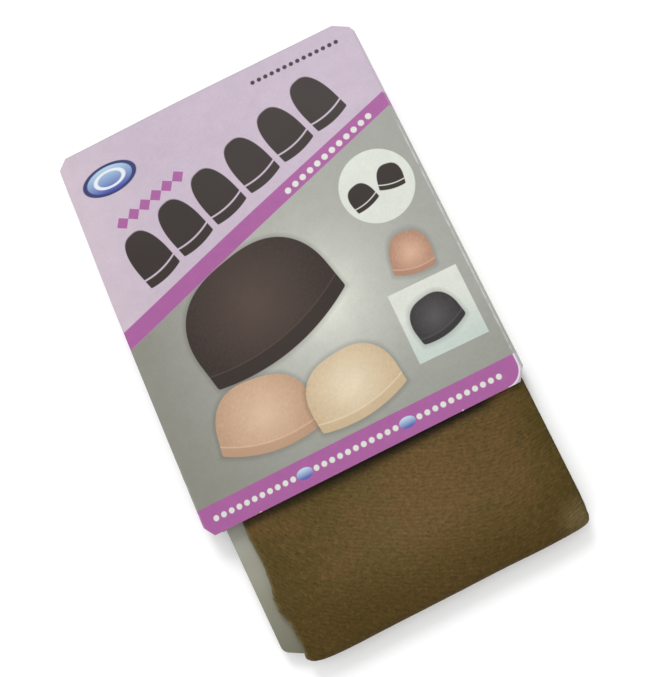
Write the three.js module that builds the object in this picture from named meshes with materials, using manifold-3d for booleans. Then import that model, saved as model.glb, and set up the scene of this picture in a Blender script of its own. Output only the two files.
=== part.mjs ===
// A knitted nylon wig cap in the card pack that it is sold in. The cap is pressed flat and folded over a stiff
// insert card, and the two stand part of the way out of a flat card sleeve. The pack lies on its back, +Z up, and
// +Y runs from the cap's fold to the sleeve's far end. Lengths are in millimetres and angles in degrees.

import * as THREE from "three";
import { mergeVertices } from "three/addons/utils/BufferGeometryUtils.js";
import Module from "manifold-3d";

const wasm = await Module();
wasm.setup();

// The cap, pressed flat: a closed tube of knit with a doubled welt at its open edge and a rounded, sewn toe.
const capWidth = 96.4;
const capLength = 234;
const knitWall = 1;
const capHollow = 0.4;
const weltLength = 18;
const weltSwell = 0.25;
const weltRamp = 1.2;
const toeLength = 34;
const toeSeamWidth = 26;
const frontLegShare = 0.51;

// The insert card, which leans a little inside the sleeve.
const insertLength = 127;
const insertBoard = 0.8;
const insertCutAcross = 6;
const insertCutAlong = 3.4;
const insertLean = 2.46;
const insertShowsLeft = 3.5;
const insertShortOfFold = 1;
const capOverhangRight = 0.9;

// The sleeve: a flattened card tube, open at both ends, with three creases down each side.
const sleeveLength = 132.7;
const sleeveBoard = 0.5;
const sleevePlayLeft = 2.6;
const sleevePlayRight = 2.1;
const sideCreaseReach = 1.1;
const farEndHeight = 5.7;
const crownPeakShift = -6;

// How the pieces stand to each other. The fold and the sleeve's near end run a little out of square, their right
// ends further up the pack.
const pulledOut = 46.2;
const foldSlant = 1.82;
const mouthSlant = 1.15;
const clearance = 0.3;

// Fineness of the faceted surfaces.
const legStep = 5;
const bendSteps = 8;
const toeSteps = 6;
const sideArcSteps = 4;
const faceSteps = 10;
const sleeveSteps = 12;
const crownSteps = 14;

// The cap's outline by its leg: 0 is the fold, 1 the open edge in front and -1 the toe behind. Left and right say
// how far each side edge draws in, as shares of the cap's width, and lift how far the outer face swells, as a
// share of the knit's wall.
const capRows = [
  { leg: -1, left: 0.004, right: 0.004, lift: 0 },
  { leg: -0.6, left: 0.002, right: 0.003, lift: 0.06 },
  { leg: -0.34, left: 0.008, right: 0.001, lift: 0.12 },
  { leg: -0.22, left: 0.012, right: 0.002, lift: 0.04 },
  { leg: -0.1, left: 0.022, right: 0.001, lift: 0.1 },
  { leg: -0.026, left: 0.027, right: 0.006, lift: 0.05 },
  { leg: -0.018, left: 0.031, right: 0.014, lift: 0 },
  { leg: -0.012, left: 0.04, right: 0.023, lift: 0 },
  { leg: -0.006, left: 0.052, right: 0.03, lift: 0 },
  { leg: 0, left: 0.064, right: 0.038, lift: 0 },
  { leg: 0.006, left: 0.052, right: 0.03, lift: 0 },
  { leg: 0.012, left: 0.04, right: 0.023, lift: 0 },
  { leg: 0.018, left: 0.031, right: 0.014, lift: 0 },
  { leg: 0.026, left: 0.025, right: 0.006, lift: 0.05 },
  { leg: 0.058, left: 0.028, right: 0.001, lift: 0.12 },
  { leg: 0.087, left: 0.024, right: 0, lift: 0.14 },
  { leg: 0.108, left: 0.023, right: 0, lift: 0.1 },
  { leg: 0.129, left: 0.014, right: 0, lift: 0.06 },
  { leg: 0.146, left: 0.005, right: 0, lift: 0.08 },
  { leg: 0.186, left: 0, right: 0, lift: 0.12 },
  { leg: 0.209, left: 0.009, right: 0, lift: 0.14 },
  { leg: 0.234, left: 0.013, right: 0, lift: 0.12 },
  { leg: 0.275, left: 0.013, right: 0, lift: 0.08 },
  { leg: 0.33, left: 0.009, right: 0, lift: 0.1 },
  { leg: 0.39, left: 0.006, right: 0, lift: 0.06 },
  { leg: 0.6, left: 0.003, right: 0.002, lift: 0.04 },
  { leg: 0.85, left: 0.012, right: 0.01, lift: 0 },
  { leg: 1, left: 0.016, right: 0.014, lift: 0 },
];

// How far the sleeve's front panel bows up between its creases, from the near end, 0, to the far end, 1, as a
// share of the sleeve's height there.
const crownRows = [
  { at: 0, crown: 0.24 },
  { at: 0.12, crown: 0.2 },
  { at: 0.35, crown: 0.13 },
  { at: 0.65, crown: 0.1 },
  { at: 1, crown: 0.12 },
];

// The sleeve's die-cut corners: side -1 is left, end 0 is the near end.
const cornerCuts = [
  { side: -1, end: 0, across: 3.1, along: 4.3 },
  { side: 1, end: 0, across: 4.2, along: 5.7 },
  { side: -1, end: 1, across: 4.4, along: 4 },
  { side: 1, end: 1, across: 6.1, along: 3.8 },
];
const cutterSize = 24;

// Heights of the stack, from the surface that the sleeve lies on.
const capThickness = 2 * knitWall + capHollow;
const backLegZ = sleeveBoard + clearance + capThickness / 2;
const insertZ = backLegZ + capThickness / 2 + clearance;
const frontLegZ = insertZ + insertBoard + clearance + capThickness / 2;
const sleeveHeight = frontLegZ + capThickness / 2 + weltSwell + clearance + sleeveBoard;
const bendRadius = (frontLegZ - backLegZ) / 2;
const bendZ = (frontLegZ + backLegZ) / 2;

// Places across the pack, from the sleeve's middle.
const leanAngle = THREE.MathUtils.degToRad(insertLean);
const leanReach = insertLength * Math.sin(leanAngle);
const sleeveWidth = sleevePlayLeft + leanReach + insertShowsLeft + capWidth + sleevePlayRight;
const capRight = sleeveWidth / 2 - sleevePlayRight;
const capLeft = capRight - capWidth;
const insertLeft = capLeft - insertShowsLeft;
const insertWidth = capRight - capOverhangRight - insertLeft;

// Places along the pack, from the sleeve's near end.
const foldSlope = Math.tan(THREE.MathUtils.degToRad(foldSlant));
const mouthSlope = Math.tan(THREE.MathUtils.degToRad(mouthSlant));
const bendY = -pulledOut + capThickness / 2 + bendRadius;
const frontLeg = capLength * frontLegShare;
const backLeg = capLength - frontLeg;
const quarterBend = (bendRadius * Math.PI) / 2;
const taperStart = bendY + Math.max(frontLeg, backLeg) - quarterBend + foldSlope * capRight;

function easeBetween(low, high, share) {
  return THREE.MathUtils.lerp(low, high, THREE.MathUtils.smoothstep(share, 0, 1));
}

// Reads one column of a table at a place, easing from row to row.
function readRows(rows, place, column, at) {
  const after = rows.findIndex((row) => row[place] >= at);
  if (after <= 0) return rows[after < 0 ? rows.length - 1 : 0][column];
  const low = rows[after - 1];
  const high = rows[after];
  return easeBetween(low[column], high[column], (at - low[place]) / (high[place] - low[place]));
}

// Evenly spaced values from one to the other, no further apart than the longest step.
function spread(from, to, longest) {
  const count = Math.max(1, Math.ceil(Math.abs(to - from) / longest));
  return Array.from({ length: count + 1 }, (_, i) => THREE.MathUtils.lerp(from, to, i / count));
}

// Skins rings of equal length into one closed surface. Endless rings run on from the last to the first;
// otherwise a fan closes each end.
function skin(rings, endless) {
  const size = rings[0].length;
  const points = rings.flat();
  const faces = [];
  rings.forEach((_, i) => {
    if (!endless && i === rings.length - 1) return;
    const here = i * size;
    const there = ((i + 1) % rings.length) * size;
    for (let k = 0; k < size; k++) {
      const next = (k + 1) % size;
      faces.push(here + k, there + next, here + next, here + k, there + k, there + next);
    }
  });
  if (!endless) {
    for (const [ring, start, turned] of [
      [rings[0], 0, false],
      [rings.at(-1), points.length - size, true],
    ]) {
      const hub = points.length;
      points.push(ring.reduce((sum, p) => sum.add(p), new THREE.Vector3()).divideScalar(size));
      for (let k = 0; k < size; k++) {
        const next = (k + 1) % size;
        faces.push(hub, start + (turned ? next : k), start + (turned ? k : next));
      }
    }
  }
  return new THREE.BufferGeometry().setFromPoints(points).setIndex(faces);
}

function solidOf(geometry) {
  const bare = geometry.clone().deleteAttribute("normal").deleteAttribute("uv");
  const merged = mergeVertices(bare);
  const mesh = new wasm.Mesh({
    numProp: 3,
    vertProperties: merged.getAttribute("position").array,
    triVerts: Uint32Array.from(merged.getIndex().array),
  });
  return new wasm.Manifold(mesh);
}

function geometryOf(solid) {
  const { vertProperties, triVerts } = solid.getMesh();
  const geometry = new THREE.BufferGeometry();
  geometry.setAttribute("position", new THREE.BufferAttribute(vertProperties, 3));
  return geometry.setIndex(new THREE.BufferAttribute(triVerts, 1));
}

// The place and outward direction at a run along the cap's middle line, which goes up the front leg from the
// fold's nose for a positive run and up the back leg for a negative one.
function capLine(run) {
  const straight = Math.abs(run) - quarterBend;
  if (straight > 0) {
    const side = Math.sign(run);
    return { y: bendY + straight, z: bendZ + side * bendRadius, outY: 0, outZ: side };
  }
  const outY = -Math.cos(run / bendRadius);
  const outZ = Math.sin(run / bendRadius);
  return { y: bendY + bendRadius * outY, z: bendZ + bendRadius * outZ, outY, outZ };
}

// The cap's side edges at a run: the table's outline, rounded off over the toe.
function capEdges(run) {
  const leg = run / (run > 0 ? frontLeg : backLeg);
  const left = capLeft + capWidth * readRows(capRows, "leg", "left", leg);
  const right = capRight - capWidth * readRows(capRows, "leg", "right", leg);
  const overToe = Math.max(0, 1 - (run + backLeg) / toeLength);
  const toeDraw = (1 - Math.sqrt(Math.max(0, 1 - overToe ** 2))) * (1 - toeSeamWidth / capWidth);
  const draw = (toeDraw * (right - left)) / 2;
  return { left: left + draw, right: right - draw };
}

// One ring round the flattened cap, between two side edges and two heights over its middle line, with rounded
// sides. The lift swells the outer face between them.
function capRing(run, { left, right }, low, high, lift) {
  const { y, z, outY, outZ } = capLine(run);
  const half = (high - low) / 2;
  const sides = [
    { x: right - half, turn: -90 },
    { x: left + half, turn: 90 },
  ];
  const outline = [];
  sides.forEach(({ x, turn }, i) => {
    for (let k = 0; k <= sideArcSteps; k++) {
      const angle = THREE.MathUtils.degToRad(turn + (180 * k) / sideArcSteps);
      outline.push([x + half * Math.cos(angle), low + half + half * Math.sin(angle)]);
    }
    const across = sides[1 - i].x - x;
    for (let k = 1; k < faceSteps; k++) {
      const share = k / faceSteps;
      const rise = i === 0 ? high + lift * Math.sin(Math.PI * share) : low;
      outline.push([x + across * share, rise]);
    }
  });
  return outline.map(([x, over]) => new THREE.Vector3(x, y + outY * over + foldSlope * x, z + outZ * over));
}

function capRuns() {
  const toe = Array.from({ length: toeSteps }, (_, k) => {
    const turn = (Math.PI / 2) * (k / toeSteps);
    return -backLeg + toeLength * (1 - Math.cos(turn));
  });
  const welt = frontLeg - weltLength;
  return [
    ...toe,
    ...spread(-backLeg + toeLength, -quarterBend, legStep),
    ...spread(-quarterBend, quarterBend, (2 * quarterBend) / bendSteps).slice(1),
    ...spread(quarterBend, welt, legStep).slice(1),
    ...spread(welt + weltRamp, frontLeg, legStep),
  ];
}

// The cap is one knitted bag: its outer skin runs from the toe to the open edge, and turns in there to line the
// hollow back to the toe.
function makeCap() {
  const halfHollow = capHollow / 2;
  const runs = capRuns();
  const outside = runs.map((run) => {
    const welt = run > frontLeg - weltLength ? weltSwell : 0;
    const lift = knitWall * readRows(capRows, "leg", "lift", run / (run > 0 ? frontLeg : backLeg));
    return capRing(run, capEdges(run), -capThickness / 2, capThickness / 2 + welt, lift);
  });
  const inside = runs.map((run) => {
    const { left, right } = capEdges(run);
    const toeWall = run < toeLength - backLeg ? knitWall : 0;
    return capRing(run + toeWall, { left: left + knitWall, right: right - knitWall }, -halfHollow, halfHollow, 0);
  });
  return skin([...outside, ...inside.reverse()], false);
}

// A plain board with cut corners, its near left corner at the origin.
function makeInsert() {
  const corners = [
    [insertCutAcross, 0],
    [insertWidth - insertCutAcross, 0],
    [insertWidth, insertCutAlong],
    [insertWidth, insertLength - insertCutAlong],
    [insertWidth - insertCutAcross, insertLength],
    [insertCutAcross, insertLength],
    [0, insertLength - insertCutAlong],
    [0, insertCutAlong],
  ];
  const outline = new THREE.Shape(corners.map(([x, y]) => new THREE.Vector2(x, y)));
  return new THREE.ExtrudeGeometry(outline, { depth: insertBoard, bevelEnabled: false });
}

// The sleeve's outline across the pack: a flat back, side creases that reach out at half height, and a front
// panel that bows up.
function sleeveOutline(y) {
  const past = sleeveLength > taperStart ? (y - taperStart) / (sleeveLength - taperStart) : 0;
  const height = easeBetween(sleeveHeight, farEndHeight, past);
  const crown = height * readRows(crownRows, "at", "crown", y / sleeveLength);
  const side = sleeveWidth / 2;
  const edge = side - sideCreaseReach;
  const front = Array.from({ length: crownSteps + 1 }, (_, k) => {
    const x = THREE.MathUtils.lerp(edge, -edge, k / crownSteps);
    const peak = x > crownPeakShift ? edge - crownPeakShift : edge + crownPeakShift;
    const from = (x - crownPeakShift) / peak;
    return new THREE.Vector2(x, height + crown * Math.cos((Math.PI / 2) * from) ** 2);
  });
  return [
    new THREE.Vector2(-side, height / 2),
    new THREE.Vector2(-edge, 0),
    new THREE.Vector2(edge, 0),
    new THREE.Vector2(side, height / 2),
    ...front,
  ];
}

// Moves each edge of a closed outline inwards by one distance.
function insetOutline(outline, distance) {
  const inwards = (from, to) => {
    const along = to.clone().sub(from).normalize();
    return new THREE.Vector2(-along.y, along.x);
  };
  return outline.map((point, i) => {
    const before = inwards(outline.at(i - 1), point);
    const after = inwards(point, outline[(i + 1) % outline.length]);
    const mitre = before.clone().add(after);
    return point.clone().addScaledVector(mitre, distance / (1 + before.dot(after)));
  });
}

// A block with one face on the line of a corner cut.
function cutterFor({ side, end, across, along }) {
  const outY = end ? 1 : -1;
  const corner = new THREE.Vector2((side * sleeveWidth) / 2, end * sleeveLength);
  const outward = new THREE.Vector2(side * along, outY * across).normalize();
  const middle = corner
    .sub(new THREE.Vector2(side * across, outY * along).divideScalar(2))
    .addScaledVector(outward, cutterSize / 2);
  const block = new THREE.BoxGeometry(cutterSize, cutterSize, cutterSize);
  return block.rotateZ(outward.angle()).translate(middle.x, middle.y, 0);
}

function makeSleeve() {
  const ends = spread(0, sleeveLength, sleeveLength / sleeveSteps);
  const place = (outline, y) => {
    const slope = mouthSlope * (1 - y / sleeveLength);
    return outline.map((p) => new THREE.Vector3(p.x, y + slope * p.x, p.y));
  };
  const outside = ends.map((y) => place(sleeveOutline(y), y));
  const inside = ends.map((y) => place(insetOutline(sleeveOutline(y), sleeveBoard), y));
  const tube = solidOf(skin([...outside, ...inside.reverse()], true));
  const trimmed = cornerCuts.reduce((solid, cut) => solid.subtract(solidOf(cutterFor(cut))), tube);
  return geometryOf(trimmed);
}

function finish(colour, roughness) {
  return new THREE.MeshStandardMaterial({ color: colour, roughness, metalness: 0 });
}

const cap = new THREE.Mesh(makeCap(), finish(0x66502f, 0.9));
cap.name = "wig_cap";

const insert = new THREE.Mesh(makeInsert(), finish(0xb0ad9c, 0.7));
insert.name = "insert_card";
insert.position.set(insertLeft, bendY + foldSlope * insertLeft + insertShortOfFold, insertZ);
insert.rotation.z = leanAngle;

const sleeve = new THREE.Mesh(makeSleeve(), finish(0xcdbdcc, 0.45));
sleeve.name = "card_sleeve";

// The origin is under the middle of the pack, on the surface that it lies on.
const pack = new THREE.Group().add(cap, insert, sleeve);
const reach = new THREE.Box3().setFromObject(pack, true);
const middle = reach.getCenter(new THREE.Vector3());
pack.position.set(-middle.x, -middle.y, -reach.min.z);

export default new THREE.Group().add(pack);
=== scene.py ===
"""The looks of a knitted wig cap, folded over its insert card and slid part of the way out of a card sleeve.
Shapes are worked out in millimetres and in degrees, and each finished piece is scaled to metres."""

import math

import bmesh
import bpy
from mathutils import Matrix, Vector, noise


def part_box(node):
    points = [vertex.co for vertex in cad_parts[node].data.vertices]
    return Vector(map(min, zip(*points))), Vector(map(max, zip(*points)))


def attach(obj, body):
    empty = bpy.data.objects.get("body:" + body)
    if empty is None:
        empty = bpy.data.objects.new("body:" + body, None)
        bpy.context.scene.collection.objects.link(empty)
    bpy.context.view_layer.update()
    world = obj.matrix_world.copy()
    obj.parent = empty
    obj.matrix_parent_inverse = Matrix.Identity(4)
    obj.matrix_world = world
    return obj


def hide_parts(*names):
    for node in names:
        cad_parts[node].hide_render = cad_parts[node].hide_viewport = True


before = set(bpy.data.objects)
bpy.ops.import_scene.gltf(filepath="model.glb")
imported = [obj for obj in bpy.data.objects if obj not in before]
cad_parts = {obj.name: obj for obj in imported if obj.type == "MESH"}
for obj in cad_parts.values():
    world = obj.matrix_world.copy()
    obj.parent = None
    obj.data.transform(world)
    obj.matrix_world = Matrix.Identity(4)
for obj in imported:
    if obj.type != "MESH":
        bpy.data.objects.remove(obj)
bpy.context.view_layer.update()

MM = 0.001


def corners(node):
    """A node's lowest and highest corners, in millimetres."""
    low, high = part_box(node)
    return low / MM, high / MM


sleeve_high = corners("card_sleeve")[1]
insert_low, insert_high = corners("insert_card")

# The sleeve, whose near end runs a little out of square.
SIDE = sleeve_high.x
CREASE = SIDE - 1.1
SLEEVE_LENGTH = 132.7
NEAR = sleeve_high.y - SLEEVE_LENGTH
MOUTH_SLOPE = math.tan(math.radians(1.15))
SLEEVE_HEIGHT = 8.05
FAR_HEIGHT = 5.7
TAPER_START = 74.94
CROWN_PEAK = -6
BOARD = 0.5
LIP_SET_BACK = 0.35
LIP_LENGTH = 8
SLEEVE_CUTS_ALONG = 65
SLEEVE_CUTS_ACROSS = 55
SHARP_FROM = 28
CROWN_ROWS = (
    # share of the length, crown as a share of the height
    (0, 0.24),
    (0.12, 0.2),
    (0.35, 0.13),
    (0.65, 0.1),
    (1, 0.12),
)
CORNER_CUTS = (
    # side, end, across, along
    (-1, 0, 3.1, 4.3),
    (1, 0, 4.2, 5.7),
    (-1, 1, 4.4, 4),
    (1, 1, 6.1, 3.8),
)

# The cap, whose fold runs a little out of square too.
FRONT_LEG = 119.34
BACK_LEG = 114.66
FOLD_SLOPE = math.tan(math.radians(1.82))
FOLD_RADIUS = 1.9
LEG_HALF = 1.2
LEGS_MIDDLE = (insert_low.z + insert_high.z) / 2
BEND_Y = NEAR - 43.1
QUARTER_BEND = FOLD_RADIUS * math.pi / 2
CAP_RIGHT = SIDE - 2.1
CAP_WIDTH = 96.4
CAP_LEFT = CAP_RIGHT - CAP_WIDTH
SIDE_FULLNESS = 14
WELT = 18
WELT_SWELL = 0.2
WELT_RAMP = 1.2
TOE = 34
TOE_SEAM = 26
TOE_THINS = 6
KNIT_WALL = 0.45
RIM_WIDTH = 1.5
ROUND_STEPS = 144
ALONG_STEPS = 180

# Small waves of the cap's left edge and of its outer faces: how high they are, and how long.
EDGE_WAVE = 0.25
EDGE_WAVE_LENGTH = 7
FACE_WAVE = 0.16
FACE_WAVE_ACROSS = 17
FACE_WAVE_ALONG = 13

# How far each side edge of the cap draws in, in millimetres. A leg runs from -1 at the toe, over 0 at the
# fold, to 1 at the open edge.
CAP_EDGES = (
    # leg, left, right
    (-1, 0.4, 0.4),
    (-0.6, 0.2, 0.3),
    (-0.34, 0.8, 0.1),
    (-0.22, 1.2, 0.2),
    (-0.1, 2.1, 0.1),
    (-0.026, 2.6, 0.45),
    (-0.018, 3, 0.7),
    (-0.012, 3.9, 1),
    (-0.006, 5, 1.3),
    (0, 6.2, 1.6),
    (0.006, 5, 1.3),
    (0.012, 3.9, 1),
    (0.018, 3, 0.7),
    (0.026, 2.4, 0.45),
    (0.058, 2.8, 0.1),
    (0.087, 2.3, 0),
    (0.113, 2.1, 0),
    (0.129, 1.4, 0),
    (0.145, 0.5, 0),
    (0.159, 0.2, 0),
    (0.171, 0.4, 0),
    (0.186, 0, 0),
    (0.197, 0.5, 0),
    (0.222, 1.1, 0),
    (0.234, 1.3, 0),
    (0.248, 1.1, 0),
    (0.26, 1.35, 0),
    (0.287, 1.25, 0),
    (0.33, 1, 0),
    (0.344, 0.5, 0),
    (0.39, 0.6, 0),
    (0.6, 0.3, 0.2),
    (0.85, 1.2, 1),
    (1, 1.5, 1.3),
)

# Where the rows of the cap's mesh stand.
CAP_ROWS = (
    # share of the rows, millimetres from the fold's nose
    (0, -BACK_LEG),
    (0.24, -9),
    (0.4, 6),
    (0.82, 62),
    (1, FRONT_LEG),
)

# The courses of the knit: level in the middle, and turned up towards both side edges.
KNIT_SPAN = 100
COURSE_PITCH = 1.2
COURSE_TURN = 26.5
COURSE_LEVEL_FROM = -23
COURSE_LEVEL_TO = 42
COURSE_RISE = 6
COURSE_EASE = 7

# The insert card.
INSERT_LEFT = CAP_LEFT - 3.5
INSERT_WIDTH = CAP_RIGHT - 0.9 - INSERT_LEFT
INSERT_LENGTH = 127
INSERT_LEAN = 2.46
INSERT_SHORT_OF_FOLD = 1
INSERT_CUT_ACROSS = 6
INSERT_CUT_ALONG = 3.4
INSERT_CORNER_ROUND = 1.4
INSERT_EDGE_ROUND = 0.14


def ease_in_out(share):
    """A share of the way that starts and ends slowly."""
    return share * share * (3 - 2 * share)


def straight(share):
    """A share of the way with no easing."""
    return share


def between(rows, at, column=1, easing=ease_in_out):
    """A column of a table at a place between two of its rows."""
    if at <= rows[0][0]:
        return rows[0][column]
    for low, high in zip(rows, rows[1:]):
        if at <= high[0]:
            share = (at - low[0]) / (high[0] - low[0])
            return low[column] + (high[column] - low[column]) * easing(share)
    return rows[-1][column]


def object_of(name, mesh, materials):
    """An object of its own for a finished mesh, at the origin."""
    data = bpy.data.meshes.new(name)
    mesh.to_mesh(data)
    mesh.free()
    for material in materials:
        data.materials.append(material)
    made = bpy.data.objects.new(name, data)
    bpy.context.scene.collection.objects.link(made)
    return made


def piece(name, mesh, materials, smooth=True):
    """Scales a mesh to metres, and makes it a piece that rides with the pack."""
    bmesh.ops.scale(mesh, vec=(MM, MM, MM), verts=mesh.verts)
    made = object_of(name, mesh, materials)
    for face in made.data.polygons:
        face.use_smooth = smooth
    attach(made, "root")
    return made


# Colours

# How bright the studio's light is on a level face, and the veil of reflected light over it.
LIGHT = 1.23
VEIL = 0.014
DARKEST = 0.002


def paint(red, green, blue):
    """The colour that has these values on a screen, 0 to 255, once the studio's light falls on it."""

    def linear(value):
        value /= 255
        value = value / 12.92 if value <= 0.04045 else ((value + 0.055) / 1.055) ** 2.4
        return max(DARKEST, (value - VEIL) / LIGHT)

    return (linear(red), linear(green), linear(blue), 1)


# Colours of the knit, in order: the base olive, painted light for the middle, the mottle's red-brown,
# painted shade for the right edge and for the fold, a paler corner, painted sheen on the left rim, painted
# shade on the right rim, bright loops, and painted shadow under the sleeve's lip.
KNIT_OLIVE = paint(88, 74, 43)
KNIT_LIT = paint(106, 88, 56)
KNIT_RED_BROWN = paint(112, 86, 56)
KNIT_RIGHT_SHADE = paint(76, 65, 30)
KNIT_FOLD_SHADE = paint(78, 63, 31)
KNIT_CORNER = paint(112, 99, 68)
KNIT_LEFT_RIM_SHEEN = paint(132, 126, 96)
KNIT_RIGHT_RIM_SHADE = paint(58, 54, 34)
KNIT_LOOP = paint(146, 130, 94)
KNIT_LIP_SHADOW = paint(20, 17, 8)

# Colours of the insert, in order: the base, a cloudy tone, painted light next to the sleeve, painted shade
# towards the near edge, and fibres.
INSERT_BEIGE = paint(156, 155, 138)
INSERT_CLOUD = paint(161, 160, 146)
INSERT_UPPER_LIGHT = paint(170, 169, 159)
INSERT_NEAR_EDGE_SHADE = paint(118, 116, 98)
INSERT_FIBRE = paint(138, 136, 118)

INSIDE_LIGHT = paint(188, 184, 168)
INSIDE_DARK = paint(170, 165, 148)
CUT_EDGE_LIGHT = paint(214, 208, 204)
CUT_EDGE_DARK = paint(190, 184, 182)

LILAC = paint(199, 183, 199)
PALE_LILAC = paint(208, 192, 203)
MAGENTA = paint(170, 98, 158)
WHITE = paint(222, 225, 216)
DARK = paint(58, 50, 47)
PLUM = paint(70, 58, 66)
GREY_FIELD = paint(160, 161, 154)
GREY_GLOW = paint(238, 240, 228)
GREY_LEFT = paint(139, 138, 128)
GREY_NEAR = paint(136, 136, 124)
DISC_WHITE = paint(221, 225, 215)
SQUARE_LOW = paint(200, 212, 204)
OVAL_RIM = paint(58, 62, 110)
OVAL_LOW = paint(74, 84, 172)
OVAL_HIGH = paint(176, 206, 226)
OVAL_RING = paint(232, 236, 240)
SMALL_OVAL_LOW = paint(92, 104, 178)
SMALL_OVAL_HIGH = paint(190, 214, 230)
NIB_CREAM = paint(228, 204, 160)
NIB_PINK = paint(236, 228, 234)
BARE_RIM = paint(230, 222, 230)
BARE_BOARD = paint(176, 168, 176)
WORN = paint(226, 226, 220)
SIDE_SHADE = paint(150, 148, 148)
END_SHADE = paint(168, 168, 168)

FLOOR_LIGHT = (0.97, 0.97, 0.97, 1)
FLOOR_DARK = (0.94, 0.94, 0.94, 1)

# Materials


class Recipe:
    """A material's nodes, and the ink: the colour that is laid down so far. Each step gives the socket that
    it comes out of."""

    def __init__(self, name, roughness, ink, **settings):
        self.material = bpy.data.materials.new(name)
        self.material.use_nodes = True
        self.tree = self.material.node_tree
        self.shader = self.tree.nodes["Principled BSDF"]
        self.shader.inputs["Roughness"].default_value = roughness
        for socket, value in settings.items():
            self.shader.inputs[socket.replace("_", " ")].default_value = value
        self.ink = ink

    def feed(self, socket, value):
        """Links a socket to another one, or sets its value."""
        if isinstance(value, bpy.types.NodeSocket):
            self.tree.links.new(value, socket)
        else:
            socket.default_value = value

    def node(self, kind, inputs, **settings):
        """A new node, with its settings and with what feeds its sockets."""
        made = self.tree.nodes.new(kind)
        for name, value in settings.items():
            setattr(made, name, value)
        for name, value in inputs.items():
            self.feed(made.inputs[name], value)
        return made

    def step(self, kind, inputs, output=0, **settings):
        return self.node(kind, inputs, **settings).outputs[output]

    def maths(self, operation, first, second=0.0, third=0.0):
        return self.step("ShaderNodeMath", {0: first, 1: second, 2: third}, operation=operation)

    def plus(self, first, second):
        return self.maths("ADD", first, second)

    def minus(self, first, second):
        return self.maths("SUBTRACT", first, second)

    def times(self, first, second):
        return self.maths("MULTIPLY", first, second)

    def absolute(self, value):
        return self.maths("ABSOLUTE", value)

    def total(self, *weighed):
        """The sum of values, each given with its weight."""
        whole = self.times(*weighed[0])
        for value, weight in weighed[1:]:
            whole = self.plus(whole, self.times(value, weight))
        return whole

    def split(self, vector):
        return self.node("ShaderNodeSeparateXYZ", {0: vector}).outputs

    def together(self, x, y, z=0.0):
        return self.step("ShaderNodeCombineXYZ", {0: x, 1: y, 2: z})

    def length(self, across, up):
        flat = self.together(across, up)
        return self.step("ShaderNodeVectorMath", {0: flat}, output="Value", operation="LENGTH")

    def place(self):
        """Where a point is on the object, in millimetres, with y from the sleeve's near end."""
        spot = self.node("ShaderNodeTexCoord", {}).outputs["Object"]
        scale = (1 / MM, 1 / MM, 1 / MM)
        return self.step("ShaderNodeMapping", {"Vector": spot, "Location": (0, -NEAR, 0), "Scale": scale})

    def noise(self, vector, scale, detail=2.0, roughness=0.5):
        inputs = {"Vector": vector, "Scale": scale, "Detail": detail, "Roughness": roughness}
        return self.step("ShaderNodeTexNoise", inputs)

    def spread(self, value, low, high, to_low=0.0, to_high=1.0, smooth=False):
        """Runs a value from one range to another, held at its ends."""
        inputs = {0: value, 1: low, 2: high, 3: to_low, 4: to_high}
        kind = "SMOOTHSTEP" if smooth else "LINEAR"
        return self.step("ShaderNodeMapRange", inputs, interpolation_type=kind)

    def mix(self, factor, first, second, blend="MIX"):
        """The first colour at a factor of 0, and the second at 1."""
        inputs = {"Factor": factor, 6: first, 7: second}
        return self.step("ShaderNodeMix", inputs, output=2, data_type="RGBA", blend_type=blend)

    def lay(self, mask, colour, share=None):
        """Lays a colour over the ink where a mask is 1, or a share of it."""
        if share is not None:
            mask = self.times(mask, share)
        self.ink = self.mix(mask, self.ink, colour)

    def darken(self, shade):
        """Multiplies the ink by a shade."""
        self.ink = self.mix(1.0, self.ink, self.together(shade, shade, shade), blend="MULTIPLY")

    def bump(self, height, strength, distance):
        """Raises the surface where a height is large, in its looks alone."""
        normal = self.step("ShaderNodeBump", {"Strength": strength, "Distance": distance, "Height": height})
        self.feed(self.shader.inputs["Normal"], normal)

    def done(self):
        """The material, with all its ink laid."""
        self.feed(self.shader.inputs["Base Color"], self.ink)
        return self.material


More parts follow.
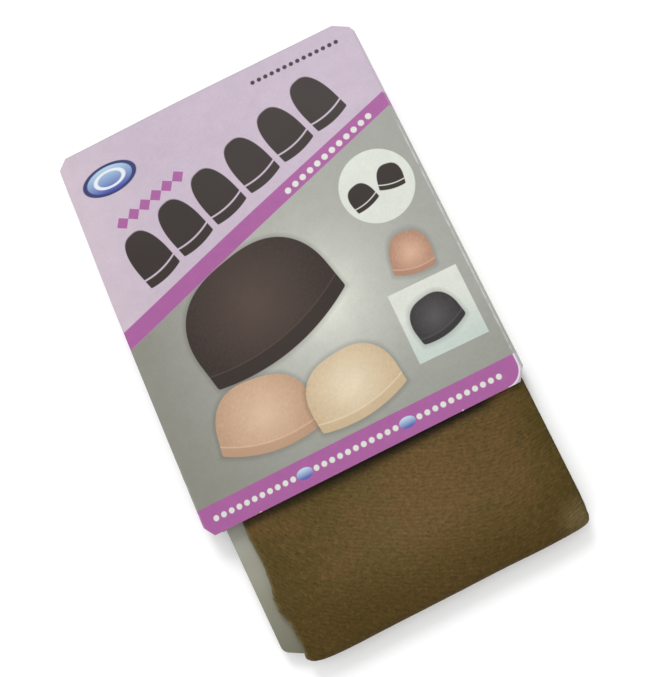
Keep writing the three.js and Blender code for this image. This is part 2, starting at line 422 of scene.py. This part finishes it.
def knit():
    """Fine nylon knit: faint bowed courses of small loops, speckled and mottled red-brown and olive."""
    made = Recipe("nylon_knit", 0.85, KNIT_OLIVE, Specular_IOR_Level=0.2)
    place = made.place()
    x, y, _ = made.split(place)

    # The loops, on the knit's own map.
    laid_open = made.step("ShaderNodeUVMap", {}, uv_map="knit")
    span = (KNIT_SPAN, KNIT_SPAN, KNIT_SPAN)
    along, course, _ = made.split(
        made.step("ShaderNodeVectorMath", {0: laid_open, 1: span}, operation="MULTIPLY")
    )
    flat = made.together(along, course)
    drift = made.spread(made.noise(flat, 0.16), 0.3, 0.7, -0.4, 0.4)
    wandering = made.plus(course, drift)
    broken = made.spread(made.noise(flat, 0.5), 0.38, 0.6, 0.15, 1)
    row = made.times(made.maths("SINE", made.times(wandering, 2 * math.pi / COURSE_PITCH)), broken)
    stretched = made.together(made.times(along, 0.75), made.times(wandering, 1.35))
    streak = made.noise(stretched, 1)
    speckle = made.noise(flat, 1.3, roughness=0.7)
    lump = made.noise(flat, 0.6, roughness=0.6)
    height = made.total((row, 0.2), (streak, 1.4), (speckle, 1.3), (lump, 1.5))
    bright_loops = made.spread(made.noise(stretched, 1.2, detail=1.0), 0.6, 0.76)

    def near(at_x, at_y, reach):
        """1 at a spot on the cap, down to 0 at a distance from it."""
        return made.spread(made.length(made.minus(x, at_x), made.minus(y, at_y)), reach, 0, smooth=True)

    # The body: painted light in the middle, mottled, and painted shade towards the right edge and the fold.
    made.lay(near(6, -19, 46), KNIT_LIT)
    mottle = made.total((made.noise(place, 0.07), 0.6), (made.noise(flat, 0.42, 3.0, 0.6), 0.4))
    made.lay(made.spread(mottle, 0.45, 0.57, 0, 0.5), KNIT_RED_BROWN)
    made.lay(made.spread(x, 40, 51, 0, 0.55), KNIT_RIGHT_SHADE)
    made.lay(made.spread(y, -25, -40, 0, 0.75), KNIT_FOLD_SHADE)
    made.lay(near(50, -41.5, 9), KNIT_CORNER, 0.75)

    # Painted sheen on the rim of the left side edge, and painted shade on the rim of the right one.
    rim = made.step("ShaderNodeAttribute", {}, output="Fac", attribute_name="rim")
    made.lay(made.times(rim, made.maths("LESS_THAN", x, 0.0)), KNIT_LEFT_RIM_SHEEN, 0.7)
    made.lay(made.times(rim, made.maths("GREATER_THAN", x, 0.0)), KNIT_RIGHT_RIM_SHADE, 0.5)

    made.darken(made.spread(height, 1.25, 2.95, 0.58, 1.42))
    made.lay(bright_loops, KNIT_LOOP, 0.2)

    # Painted shadow where the cap tucks in under the sleeve's lip.
    from_mouth = made.minus(y, made.times(x, MOUTH_SLOPE))
    lip_shadow = made.times(made.spread(from_mouth, -3.6, 0, 0, 0.85, smooth=True), made.spread(x, 46, 38))
    made.lay(made.times(lip_shadow, made.spread(x, -45, 5, 0.7, 1)), KNIT_LIP_SHADOW)
    made.bump(height, 0.35, 0.1 * MM)
    return made.done()


def insert_board():
    """Smooth grey-beige board, with painted light next to the sleeve and painted shade towards its near
    edge.
    """
    made = Recipe("insert_board", 0.6, INSERT_BEIGE, Specular_IOR_Level=0.3)
    place = made.place()
    y = made.split(place)[1]
    fibre = made.noise(place, 1.4, 4.0, 0.65)
    made.lay(made.spread(made.noise(place, 0.05, 3.0), 0.35, 0.65), INSERT_CLOUD)
    # Painted light next to the sleeve, and painted shade towards the near edge.
    made.lay(made.spread(y, -12, -4), INSERT_UPPER_LIGHT)
    made.lay(made.spread(y, -17, -42), INSERT_NEAR_EDGE_SHADE)
    made.lay(made.spread(fibre, 0.35, 0.75, 0, 0.2), INSERT_FIBRE)
    made.bump(fibre, 0.15, 0.05 * MM)
    return made.done()


def plain_board(name, light, dark):
    """Uncoated board, on the sleeve's inside and along its cut edges."""
    made = Recipe(name, 0.75, light, Specular_IOR_Level=0.25)
    fibre = made.noise(made.place(), 1.8, 4.0, 0.7)
    made.lay(made.spread(fibre, 0.3, 0.7), dark)
    made.bump(fibre, 0.2, 0.05 * MM)
    return made.done()


# The print's straight lines, each with its slope and its place on the panel's middle.
STRIPE_LOW = (0.331, 80.6)
STRIPE_HIGH = (0.324, 86.35)
BAND_TOP = (0.0165, 9)
STRIPE_TURN = 18.2

INK_EDGE = 0.12

# A dome: its skirt as a share of its height, how square its sides and its top are, and its depth as a share
# of its half width.
DOME_SKIRT = 0.3
DOME_SIDES = 2.7
DOME_TOP = 2.2
DOME_DEPTH = 1 / 2.4

# The pictured caps: the middle of the open edge, tilt, half width, height, sag of the open edge, hem, and
# the colours of the knit and of its sheer middle.
LARGE_CAPS = (
    # x, y, tilt, half, height, sag, hem, knit, sheer
    (-8, 45, 14, 25.5, 31, 5, 5, paint(56, 48, 45), paint(92, 76, 68)),
    (-24, 17.5, -8, 16, 20, 3, 3, paint(186, 150, 122), paint(226, 194, 164)),
    (6.5, 14.5, 7, 15, 19, 2.6, 3, paint(202, 178, 142), paint(236, 220, 192)),
)
SQUARE_CAP = (38.6, 25.4, 12, 8, 12, 1.6, 2, paint(56, 54, 54), paint(92, 90, 90))
SMALL_CAP = (38.4, 46.2, -9, 6.8, 12.5, 1.3, 1.8, paint(176, 134, 112), paint(222, 182, 154))

# The motifs' places, across and up from the middle of the near end, with a turn in degrees where they have
# one.
GLOW = (8, 50)
GLOW_FADES = 17
DOME_ROW = (-40.5, 76.2, STRIPE_TURN)
DOME_ROW_PITCH = 14.7
DOME_ROW_COUNT = 6
DOME_ROW_LIFT = 1.6
LOZENGE_ROW = (-43, 102, 15)
LOZENGE_PITCH = 4.7
LOZENGE_COUNT = 6
LOZENGE_HALF = 2.4
RINGED_OVAL = (-39.3, 119)
RINGED_OVAL_HALF_HEIGHT = 5.4
RINGED_OVAL_NARROWING = 0.55
SQUARE = (38.6, 30.6)
SQUARE_HALF = 11.6
DISC = (39, 75.8)
DISC_RADIUS = 12.2
DISC_DOMES = (
    (34.2, 71.2, 16),
    (43.4, 73.2, -10),
)
DOT_ROWS = (
    # x, y, turn, pitch, count, radius, colour
    (11.4, 86.7, STRIPE_TURN, 3.2, 12, 1.05, WHITE),
    (16, 126.9, 0, 2.35, 14, 0.75, PLUM),
)
NIBS = (
    # x, y, colour
    (-35.6, -0.5, NIB_CREAM),
    (32.7, 0.85, NIB_PINK),
)
NIB_RADIUS = 0.4

# The band's beads. Of each thirteen, an oval takes the place of the last two.
BEAD_ROW = (-50.4, 3.8, 1)
OVAL_PITCH = 34.6
BEAD_PITCH = OVAL_PITCH / 13
BEADS_BEFORE_OVAL = 11
OVAL_AFTER = 12
BEADS = 37
BEAD_RADIUS = 0.9
OVAL_HALF_HEIGHT = 1.75
OVAL_NARROWING = 0.66

# The near right corner, where the ink stops short in an arc.
BARE_X = 47.9
BARE_Y = 7.0
BARE_RADIUS = 5.5


class Print(Recipe):
    """Ink on the sleeve, laid down shape by shape over what is there."""

    def __init__(self, name):
        super().__init__(name, 0.5, LILAC, Specular_IOR_Level=0.3)
        self.spot = self.place()
        self.x, self.y, _ = self.split(self.spot)

    def beyond(self, distance, soft=INK_EDGE):
        """1 where a distance is past zero, with a soft edge."""
        return self.spread(distance, -soft, soft)

    def above(self, line):
        """How far a spot is up the panel from a line."""
        slope, middle = line
        return self.minus(self.y, self.maths("MULTIPLY_ADD", self.x, slope, middle))

    def under(self, line):
        return self.times(self.above(line), -1)

    def at(self, x, y, degrees=0):
        """Places across and up, from a spot on the panel, turned."""
        turn = (0, 0, math.radians(degrees))
        inputs = {"Vector": self.spot, "Location": (x, y, 0), "Rotation": turn}
        across, up, _ = self.split(self.step("ShaderNodeMapping", inputs, vector_type="TEXTURE"))
        return across, up

    def row(self, across, pitch, count):
        """Repeats a place along a row. Gives the place in each repeat, and a mask for the row's length."""
        share = self.maths("FRACT", self.maths("DIVIDE", across, pitch))
        started = self.maths("GREATER_THAN", across, 0.0)
        ended = self.maths("LESS_THAN", across, pitch * count)
        return self.times(self.minus(share, 0.5), pitch), self.times(started, ended)

    def disc(self, across, up, radius):
        """How far inside a circle a spot is."""
        return self.minus(radius, self.length(across, up))

    def on_line(self, value, middle, half):
        """How far inside a line a value is."""
        return self.minus(half, self.absolute(self.minus(value, middle)))

    def off_line(self, value, middle, half):
        """How far outside a line a value is."""
        return self.minus(self.absolute(self.minus(value, middle)), half)

    def dome(self, across, up, half, height, sag, turn=1.2):
        """A cap's outline: a dome on straight skirts, over a shallow curve. Gives how far inside it a spot
        is, and how far above the curve."""
        share = self.maths("DIVIDE", across, half)
        skirt = height * DOME_SKIRT
        sides = self.maths("POWER", self.absolute(share), DOME_SIDES)
        rise = self.maths("DIVIDE", self.minus(up, skirt), height - skirt)
        top = self.maths("POWER", self.maths("MAXIMUM", rise, 0.0), DOME_TOP)
        inside = self.times(self.minus(1.0, self.plus(sides, top)), half * DOME_DEPTH)
        curve = self.times(self.minus(1.0, self.times(share, share)), sag)
        over = self.plus(up, curve)
        return self.maths("SMOOTH_MIN", inside, over, turn), over

    def hemmed_dome(self, across, up, half, height, sag, turn, hem, line):
        """A dome in one colour, with its hem left out as a thin line."""
        shape, over = self.dome(across, up, half, height, sag, turn)
        return self.times(self.beyond(shape), self.beyond(self.off_line(over, hem, line)))

    def cap_picture(self, x, y, tilt, half, height, sag, hem, knit_colour, sheer):
        """A picture of a cap: fine vertical ribs, a sheer middle and a hem, over a soft shadow."""
        across, up = self.at(x, y, tilt)
        inside, over = self.dome(across, up, half, height, sag)
        middle = self.disc(across, self.minus(up, height * 0.45), half * 0.95)
        ribs = self.noise(self.together(self.times(across, 2.2), self.times(up, 0.7)), 1)
        in_hem = self.beyond(self.minus(hem, over), 0.3)
        seam = self.beyond(self.on_line(over, hem, 0.22), 0.15)
        body = self.mix(self.times(self.spread(middle, 0, half * 0.85), 0.8), knit_colour, sheer)
        body = self.mix(self.spread(ribs, 0.35, 0.65, 0, 0.22), body, sheer)
        body = self.mix(self.times(in_hem, 0.7), body, knit_colour)
        body = self.mix(self.times(seam, 0.55), body, sheer)
        self.lay(self.beyond(self.plus(inside, 0.9), 0.9), DARK, 0.3)
        self.lay(self.beyond(inside), body)

    def wear(self):
        """White wear along the side creases, strongest at the right and near the mouth."""
        patches = self.spread(self.noise(self.spot, 0.35, 3.0), 0.34, 0.62, 0.1, 0.75)
        crease = self.beyond(self.on_line(self.absolute(self.x), CREASE - 0.1, 0.2), 0.25)
        right = self.times(self.maths("GREATER_THAN", self.x, 0.0), self.spread(self.y, 96, 86))
        left = self.times(self.maths("LESS_THAN", self.x, 0.0), self.spread(self.y, 30, 12, 0, 0.7))
        self.lay(self.times(crease, self.times(patches, self.plus(right, left))), WORN)

    def finish(self):
        """Grain in the ink, wear, painted shade on the sides and along the far end, and the board's slight
        waves.
        """
        grain = self.noise(self.spot, 1.3, 4.0, 0.6)
        cloud = self.noise(self.spot, 0.22, 3.0, 0.6)
        self.darken(self.spread(self.total((grain, 0.55), (cloud, 0.45)), 0.35, 0.65, 0.95, 1.05))
        self.wear()
        self.lay(self.spread(self.absolute(self.x), CREASE + 0.3, SIDE, 0, 0.45), SIDE_SHADE)
        self.lay(self.spread(self.y, SLEEVE_LENGTH - 0.5, SLEEVE_LENGTH - 0.1, 0, 0.45), END_SHADE)
        self.bump(self.total((self.noise(self.spot, 0.02), 6.0), (grain, 0.03)), 0.5, 0.6 * MM)
        return self.done()


def grey_field(made):
    """The grey field below the stripe, with a glow in its middle."""
    from_glow = made.length(made.minus(made.x, GLOW[0]), made.minus(made.y, GLOW[1]))
    glow = made.maths("EXPONENT", made.maths("DIVIDE", from_glow, -GLOW_FADES))
    grey = made.mix(glow, GREY_FIELD, GREY_GLOW)
    grey = made.mix(made.spread(made.x, -18, -50, 0, 0.85), grey, GREY_LEFT)
    grey = made.mix(made.spread(made.y, 34, 10, 0, 0.35), grey, GREY_NEAR)
    made.lay(made.beyond(made.under(STRIPE_LOW)), grey)


def dome_row(made):
    """Six dark domes, in a slanted row above the stripe."""
    across, up = made.at(*DOME_ROW)
    local, inside = made.row(across, DOME_ROW_PITCH, DOME_ROW_COUNT)
    lifted = made.minus(up, DOME_ROW_LIFT)
    domes = made.hemmed_dome(local, lifted, half=6.3, height=18.6, sag=0.9, turn=0.7, hem=3.4, line=0.3)
    made.lay(made.times(domes, inside), DARK)


def small_rows(made):
    """Two rows of dots and one of lozenges."""
    for x, y, turn, pitch, count, radius, colour in DOT_ROWS:
        across, up = made.at(x, y, turn)
        local, inside = made.row(across, pitch, count)
        made.lay(made.times(made.beyond(made.disc(local, up, radius)), inside), colour)
    across, up = made.at(*LOZENGE_ROW)
    local, inside = made.row(across, LOZENGE_PITCH, LOZENGE_COUNT)
    lozenge = made.minus(LOZENGE_HALF, made.plus(made.absolute(local), made.absolute(up)))
    made.lay(made.times(made.beyond(lozenge), inside), MAGENTA)


def ringed_oval(made):
    """A blue oval with a dark rim and a pale ring in it."""
    across, up = made.at(*RINGED_OVAL)
    oval = made.disc(made.times(across, RINGED_OVAL_NARROWING), up, RINGED_OVAL_HALF_HEIGHT)
    made.lay(made.beyond(oval), OVAL_RIM)
    made.lay(made.beyond(made.minus(oval, 0.9)), made.mix(made.spread(up, -4, 4), OVAL_LOW, OVAL_HIGH))
    made.lay(made.beyond(made.on_line(oval, 2.6, 0.4)), OVAL_RING)


def square_and_disc(made):
    """A pale square with a cap in it, a small cap, and a white disc with two caps."""
    across, up = made.at(*SQUARE)
    square = made.minus(SQUARE_HALF, made.maths("MAXIMUM", made.absolute(across), made.absolute(up)))
    made.lay(made.beyond(square), made.mix(made.spread(up, -10, 4), SQUARE_LOW, WHITE))
    made.cap_picture(*SQUARE_CAP)
    across, up = made.at(*DISC)
    made.lay(made.beyond(made.disc(across, up, DISC_RADIUS)), DISC_WHITE)
    made.cap_picture(*SMALL_CAP)
    for dome in DISC_DOMES:
        across, up = made.at(*dome)
        shape = made.hemmed_dome(across, up, half=4.3, height=8, sag=0.6, turn=0.5, hem=1.7, line=0.16)
        made.lay(shape, DARK)


def bead_band(made):
    """The band along the near end, with its beads and two blue ovals."""
    made.lay(made.beyond(made.under(BAND_TOP)), MAGENTA)
    across, up = made.at(*BEAD_ROW)
    local, inside = made.row(across, BEAD_PITCH, BEADS)
    third, _ = made.row(across, OVAL_PITCH, 3)
    beads = made.beyond(made.disc(local, up, BEAD_RADIUS))
    left_of_oval = made.maths("LESS_THAN", third, BEADS_BEFORE_OVAL * BEAD_PITCH - OVAL_PITCH / 2)
    made.lay(made.times(made.times(beads, left_of_oval), inside), WHITE)
    from_oval = made.minus(third, OVAL_AFTER * BEAD_PITCH - OVAL_PITCH / 2)
    oval = made.disc(made.times(from_oval, OVAL_NARROWING), up, OVAL_HALF_HEIGHT)
    blue = made.mix(made.spread(up, -1.2, 1.4), SMALL_OVAL_LOW, SMALL_OVAL_HIGH)
    made.lay(made.times(made.beyond(oval), inside), blue)


def nibs(made):
    """Two small bare spots at the lip."""
    for x, y, colour in NIBS:
        made.lay(made.beyond(made.disc(*made.at(x, y), NIB_RADIUS)), colour)


def bare_corner(made):
    """Board left bare at the near right corner."""
    across = made.maths("MAXIMUM", made.minus(made.x, BARE_X), 0.0)
    down = made.maths("MAXIMUM", made.minus(BARE_Y, made.y), 0.0)
    outside = made.minus(made.length(across, down), BARE_RADIUS)
    corner = made.times(made.maths("GREATER_THAN", made.x, BARE_X), made.beyond(made.under(BAND_TOP)))
    board = made.mix(made.spread(outside, 0.3, 0.7), BARE_RIM, BARE_BOARD)
    made.lay(made.times(made.beyond(outside), corner), board)


def front_print():
    """The sleeve's front: a lilac field, a stripe, a grey field and a band, with plain motifs."""
    made = Print("front_print")
    made.lay(made.spread(made.x, -25, -52, 0, 0.7), PALE_LILAC)
    grey_field(made)
    for cap in LARGE_CAPS:
        made.cap_picture(*cap)
    made.lay(made.times(made.beyond(made.above(STRIPE_LOW)), made.beyond(made.under(STRIPE_HIGH))), MAGENTA)
    dome_row(made)
    small_rows(made)
    ringed_oval(made)
    square_and_disc(made)
    bead_band(made)
    nibs(made)
    bare_corner(made)
    return made.finish()


def back_print():
    """The sleeve's back, finished plainly: the lilac field over the band."""
    made = Print("back_print")
    made.lay(made.beyond(made.under(BAND_TOP)), MAGENTA)
    return made.finish()


# Pieces


def everything(mesh):
    """All of a mesh, as the cutting plane takes it."""
    return list(mesh.verts) + list(mesh.edges) + list(mesh.faces)


def reach(edge, axis):
    """How far an edge runs along an axis."""
    return abs(getattr(edge.verts[0].co, axis) - getattr(edge.verts[1].co, axis))


def cap_edges(run):
    """The cap's side edges at a run from the fold, rounded off over the toe."""
    leg = run / (FRONT_LEG if run > 0 else BACK_LEG)
    left = CAP_LEFT + between(CAP_EDGES, leg, column=1)
    right = CAP_RIGHT - between(CAP_EDGES, leg, column=2)
    over_toe = max(0, 1 - (run + BACK_LEG) / TOE)
    draw = (1 - math.sqrt(max(0, 1 - over_toe**2))) * (1 - TOE_SEAM / CAP_WIDTH) * (right - left) / 2
    return left + draw, right - draw


def cap_line(run):
    """The legs' middle line: y, z, and the outward direction."""
    beyond = abs(run) - QUARTER_BEND
    if beyond > 0:
        side = math.copysign(1, run)
        return BEND_Y + beyond, LEGS_MIDDLE + side * FOLD_RADIUS, 0, side
    turn = run / FOLD_RADIUS
    out_y, out_z = -math.cos(turn), math.sin(turn)
    return BEND_Y + FOLD_RADIUS * out_y, LEGS_MIDDLE + FOLD_RADIUS * out_z, out_y, out_z


def cap_spot(turn, run):
    """A spot on the cap, at a turn round it and a run from the fold, and how deep in an edge's rim it is."""
    left, right = cap_edges(run)
    half_width = (right - left) / 2
    share = math.cos(turn)
    wave = EDGE_WAVE * noise.noise(Vector((run / EDGE_WAVE_LENGTH, 3.1, 0)))
    x = (left + right) / 2 + share * half_width + wave * (share < 0) * share**2
    half = LEG_HALF * (1 - max(0, 1 - (run + BACK_LEG) / TOE_THINS) ** 2)
    flat = math.sqrt(max(0, 1 - abs(share) ** SIDE_FULLNESS))
    over = half * flat * (1 if math.sin(turn) >= 0 else -1)
    if over > 0:
        over += WELT_SWELL * flat * max(0, min(1, (run - FRONT_LEG + WELT) / WELT_RAMP))
        over += FACE_WAVE * flat * noise.noise(Vector((x / FACE_WAVE_ACROSS, run / FACE_WAVE_ALONG, 0.5)))
    y, z, out_y, out_z = cap_line(run)
    rim = max(0, 1 - (1 - abs(share)) * half_width / RIM_WIDTH) ** 2
    return (x, y + out_y * over + FOLD_SLOPE * x, z + out_z * over), rim


def course_of(x, y):
    """The knit's own place at a spot on the cap laid open: along a course, and across the courses."""
    turn = math.radians(COURSE_TURN)
    along = x * math.cos(turn) - y * math.sin(turn)
    across = x * math.sin(turn) + y * math.cos(turn)
    left = COURSE_RISE * math.log1p(math.exp((COURSE_LEVEL_FROM - along) / COURSE_EASE))
    right = COURSE_RISE * math.log1p(math.exp((along - COURSE_LEVEL_TO) / COURSE_EASE))
    return along, across - left - right


def map_knit(mesh, run_layer):
    """Lays the cap open over a map of its courses."""
    spots = mesh.loops.layers.uv.new("knit")
    for face in mesh.faces:
        for loop in face.loops:
            laid_open = loop.vert[run_layer] - QUARTER_BEND + BEND_Y - NEAR
            along, across = course_of(loop.vert.co.x, laid_open)
            loop[spots].uv = (along / KNIT_SPAN, across / KNIT_SPAN)


def knitted_cap():
    """The pressed cap: a bag of knit that narrows to its toe, folded over the insert, with a welt at its
    open edge."""
    mesh = bmesh.new()
    bmesh.ops.create_grid(mesh, x_segments=ROUND_STEPS, y_segments=ALONG_STEPS, size=0.5)
    run_layer = mesh.verts.layers.float.new("run")
    rim_layer = mesh.verts.layers.float.new("rim")
    for vert in mesh.verts:
        run = between(CAP_ROWS, vert.co.y + 0.5, easing=straight)
        vert[run_layer] = run
        vert.co, vert[rim_layer] = cap_spot((vert.co.x + 0.5) * 2 * math.pi, run)
    bmesh.ops.remove_doubles(mesh, verts=mesh.verts, dist=0.0005)
    bmesh.ops.recalc_face_normals(mesh, faces=mesh.faces)
    map_knit(mesh, run_layer)
    made = piece("knitted_cap", mesh, [knit()])
    wall = made.modifiers.new("wall", "SOLIDIFY")
    wall.thickness = KNIT_WALL * MM
    wall.offset = -1
    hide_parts("wig_cap")


def sleeve_tube():
    """A tube through the sleeve's six creases, one unit high, cut finely along and across its panels."""
    mesh = bmesh.new()
    creases = ((-CREASE, 0), (CREASE, 0), (SIDE, 0.5), (CREASE, 1), (-CREASE, 1), (-SIDE, 0.5))
    section = [mesh.verts.new((x, 0, z)) for x, z in creases]
    ring = [mesh.edges.new((a, b)) for a, b in zip(section, section[1:] + section[:1])]
    grown = bmesh.ops.extrude_edge_only(mesh, edges=ring)["geom"]
    far_end = [v for v in grown if isinstance(v, bmesh.types.BMVert)]
    bmesh.ops.translate(mesh, verts=far_end, vec=(0, SLEEVE_LENGTH, 0))
    along = [e for e in mesh.edges if reach(e, "y") > 1]
    bmesh.ops.subdivide_edges(mesh, edges=along, cuts=SLEEVE_CUTS_ALONG, use_grid_fill=True)
    across = [e for e in mesh.edges if reach(e, "y") < 0.01 and reach(e, "x") > CREASE]
    bmesh.ops.subdivide_edges(mesh, edges=across, cuts=SLEEVE_CUTS_ACROSS, use_grid_fill=True)
    return mesh


def sleeve_height(y):
    """The sleeve's height at its creases, less past the cap's open edge, towards the far end."""
    past = max(0, min(1, (y - TAPER_START) / (SLEEVE_LENGTH - TAPER_START)))
    return SLEEVE_HEIGHT + (FAR_HEIGHT - SLEEVE_HEIGHT) * ease_in_out(past)


def bow_sleeve(mesh):
    """Gives the tube its height and its bowed front, and slants its near end."""
    for vert in mesh.verts:
        x, y, level = vert.co
        height = sleeve_height(y)
        vert.co.z = level * height
        if level > 0.99:
            span = CREASE - CROWN_PEAK if x > CROWN_PEAK else CREASE + CROWN_PEAK
            crown = height * between(CROWN_ROWS, y / SLEEVE_LENGTH)
            vert.co.z += crown * math.cos(math.pi / 2 * (x - CROWN_PEAK) / span) ** 2
        vert.co.y += MOUTH_SLOPE * (1 - y / SLEEVE_LENGTH) * x + LIP_SET_BACK * max(0, 1 - y / LIP_LENGTH)


def cut_sleeve_corners(mesh):
    """Cuts off the four corners, through both panels, in straight lines."""
    for side, end, across, along in CORNER_CUTS:
        spot = Vector((side * (SIDE - across), end * SLEEVE_LENGTH, 0))
        other = Vector((side * SIDE, end * SLEEVE_LENGTH + (-along if end else along), 0))
        line = other - spot
        outward = Vector((line.y, -line.x, 0))
        if outward.x * side < 0:
            outward.negate()
        bmesh.ops.bisect_plane(
            mesh, geom=everything(mesh), plane_co=spot, plane_no=outward, clear_outer=True, dist=1e-4
        )


def give_board(mesh):
    """Thickens the tube inwards. The front's faces have material 0, the back's 1, the inside's 2 and the cut
    edges' 3."""
    bmesh.ops.recalc_face_normals(mesh, faces=mesh.faces)
    outer = set(mesh.verts)
    bmesh.ops.solidify(mesh, geom=list(mesh.faces), thickness=BOARD)
    for face in mesh.faces:
        shared = sum(vert in outer for vert in face.verts)
        if shared < len(face.verts):
            face.material_index = 3 if shared else 2
    bmesh.ops.recalc_face_normals(mesh, faces=mesh.faces)


def card_sleeve():
    """The printed sleeve: a flat tube of board that bows up in front, with its four corners cut."""
    mesh = sleeve_tube()
    for face in mesh.faces:
        face.material_index = 1 if face.calc_center_median().z < 0.01 else 0
    bow_sleeve(mesh)
    cut_sleeve_corners(mesh)
    bmesh.ops.translate(mesh, verts=mesh.verts, vec=(0, NEAR, 0))
    give_board(mesh)
    inside = plain_board("sleeve_inside", INSIDE_LIGHT, INSIDE_DARK)
    cut_edge = plain_board("sleeve_cut_edge", CUT_EDGE_LIGHT, CUT_EDGE_DARK)
    materials = [front_print(), back_print(), inside, cut_edge]
    made = piece("printed_sleeve", mesh, materials)
    made.data.set_sharp_from_angle(angle=math.radians(SHARP_FROM))
    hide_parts("card_sleeve")


def round_edges(mesh, edges, offset, segments):
    """Rounds edges by a bevel."""
    bmesh.ops.bevel(
        mesh,
        geom=edges,
        offset=offset,
        offset_type="OFFSET",
        affect="EDGES",
        segments=segments,
        profile=0.5,
        material=-1,
    )


def insert_card():
    """The stiff card that the cap is folded over, leaning a little in the sleeve."""
    mesh = bmesh.new()
    bmesh.ops.create_cube(mesh, size=1)
    thick = insert_high.z - insert_low.z
    bmesh.ops.scale(mesh, vec=(INSERT_WIDTH, INSERT_LENGTH, thick), verts=mesh.verts)
    for side in (-1, 1):
        for end in (-1, 1):
            outward = Vector((side * INSERT_CUT_ALONG, end * INSERT_CUT_ACROSS, 0)).normalized()
            spot = Vector((side * (INSERT_WIDTH / 2 - INSERT_CUT_ACROSS), end * INSERT_LENGTH / 2, 0))
            cut = bmesh.ops.bisect_plane(
                mesh, geom=everything(mesh), plane_co=spot, plane_no=outward, clear_outer=True
            )
            rim = [e for e in cut["geom_cut"] if isinstance(e, bmesh.types.BMEdge)]
            bmesh.ops.edgeloop_fill(mesh, edges=rim)
    round_edges(mesh, [e for e in mesh.edges if reach(e, "z") > thick / 2], INSERT_CORNER_ROUND, 3)
    round_edges(mesh, [e for e in mesh.edges if reach(e, "z") < thick / 2], INSERT_EDGE_ROUND, 2)
    bmesh.ops.translate(mesh, verts=mesh.verts, vec=(INSERT_WIDTH / 2, INSERT_LENGTH / 2, 0))
    lean = Matrix.Rotation(math.radians(INSERT_LEAN), 3, "Z")
    bmesh.ops.rotate(mesh, verts=mesh.verts, matrix=lean)
    near_edge = BEND_Y + FOLD_SLOPE * INSERT_LEFT + INSERT_SHORT_OF_FOLD
    bmesh.ops.translate(mesh, verts=mesh.verts, vec=(INSERT_LEFT, near_edge, LEGS_MIDDLE))
    made = piece("insert_board", mesh, [insert_board()], smooth=False)
    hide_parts("insert_card")


# The stage


def floor():
    """A plain pale floor, just under the pack."""
    mesh = bmesh.new()
    bmesh.ops.create_grid(mesh, x_segments=1, y_segments=1, size=2)
    bmesh.ops.translate(mesh, verts=mesh.verts, vec=(0, 0, -0.1 * MM))
    made = Recipe("pale_floor", 0.9, FLOOR_LIGHT)
    made.lay(made.spread(made.noise(made.place(), 0.004), 0.3, 0.7), FLOOR_DARK)
    object_of("floor", mesh, [made.done()])


def light(name, place, size, power):
    """A round lamp that faces the pack."""
    lamp = bpy.data.lights.new(name, "AREA")
    lamp.shape = "DISK"
    lamp.size = size
    lamp.energy = power
    made = bpy.data.objects.new(name, lamp)
    made.location = place
    made.rotation_euler = (-Vector(place)).to_track_quat("-Z", "Y").to_euler()
    bpy.context.scene.collection.objects.link(made)


def camera():
    """The camera, near the pack and almost over it, shifted as the framing needs."""
    view = bpy.data.cameras.new("camera")
    view.sensor_fit = "VERTICAL"
    view.sensor_height = 36
    view.lens = 46.53
    view.shift_x = -0.0732
    view.shift_y = -0.0791
    view.clip_start = 0.01
    made = bpy.data.objects.new("camera", view)
    made.location = (0.03534, -0.04775, 0.2743)
    made.rotation_euler = tuple(math.radians(angle) for angle in (9.114, 6.77, -25.172))
    bpy.context.scene.collection.objects.link(made)
    bpy.context.scene.camera = made


def air():
    """Even white light from all round."""
    world = bpy.data.worlds.new("soft_air")
    world.use_nodes = True
    background = world.node_tree.nodes["Background"]
    background.inputs["Color"].default_value = (1, 1, 1, 1)
    background.inputs["Strength"].default_value = 0.95
    bpy.context.scene.world = world
    bpy.context.scene.view_settings.view_transform = "Standard"


camera()
air()
light("key", place=(0.15, 1.2, 0.95), size=0.6, power=11)
floor()
card_sleeve()
insert_card()
knitted_cap()
